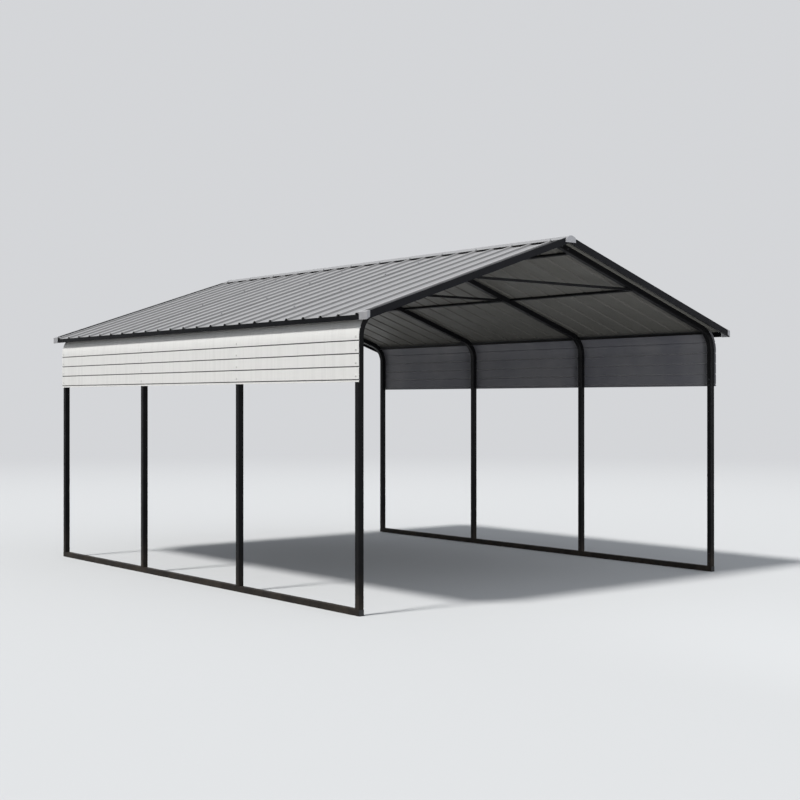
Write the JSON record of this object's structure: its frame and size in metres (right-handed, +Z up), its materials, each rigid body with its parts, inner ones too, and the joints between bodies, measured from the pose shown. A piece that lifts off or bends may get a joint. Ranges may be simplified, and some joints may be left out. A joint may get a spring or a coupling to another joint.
{
  "type": "carport",
  "caption": "Open steel carport with bent-tube arches on base rails, a ribbed gable roof and ribbed upper side panels.",
  "frame": {"origin": "on the ground, at the middle of the width and of the length", "axes": "+Z up, +X across the width to the right seen from the front, +Y along the ridge to the back"},
  "size_m": [3.9602, 4.916, 2.7485],
  "materials": {
    "frame_paint": "satin black powder coat on steel tube",
    "bare_steel": "galvanised steel inside the joints",
    "roof_sheet": "mid grey coil-coated ribbed steel sheet, pale grey underneath",
    "trim_paint": "satin black folded steel trim",
    "panel_sheet": "off-white coil-coated steel sheet with pressed grooves",
    "grey_plastic": "grey moulded plastic caps"
  },
  "bodies": {
    "root": {"base_rail_left": "frame_paint", "base_rail_right": "frame_paint", "bent_rafter_left_1": "frame_paint", "bent_rafter_left_2": "frame_paint", "bent_rafter_left_3": "frame_paint", "bent_rafter_left_4": "frame_paint", "bent_rafter_right_1": "frame_paint", "bent_rafter_right_2": "frame_paint", "bent_rafter_right_3": "frame_paint", "bent_rafter_right_4": "frame_paint", "collar_ties": "frame_paint", "corner_caps": "grey_plastic", "eave_purlin_left": "frame_paint", "eave_purlin_right": "frame_paint", "eave_trim_left": "trim_paint", "eave_trim_right": "trim_paint", "foot_spigots": "bare_steel", "gable_trim_front_left": "trim_paint", "gable_trim_front_right": "trim_paint", "gable_trim_rear_left": "trim_paint", "gable_trim_rear_right": "trim_paint", "peak_splices": "bare_steel", "post_left_1": "frame_paint", "post_left_2": "frame_paint", "post_left_3": "frame_paint", "post_left_4": "frame_paint", "post_right_1": "frame_paint", "post_right_2": "frame_paint", "post_right_3": "frame_paint", "post_right_4": "frame_paint", "ridge_cap": "roof_sheet", "ridge_end_caps": "grey_plastic", "ridge_purlins": "frame_paint", "roof_sheet_left_1": "roof_sheet", "roof_sheet_left_2": "roof_sheet", "roof_sheet_left_3": "roof_sheet", "roof_sheet_left_4": "roof_sheet", "roof_sheet_right_1": "roof_sheet", "roof_sheet_right_2": "roof_sheet", "roof_sheet_right_3": "roof_sheet", "roof_sheet_right_4": "roof_sheet", "side_panel_left": "panel_sheet", "side_panel_right": "panel_sheet", "slope_purlin_left": "frame_paint", "slope_purlin_right": "frame_paint"}
  },
  "joints": []
}
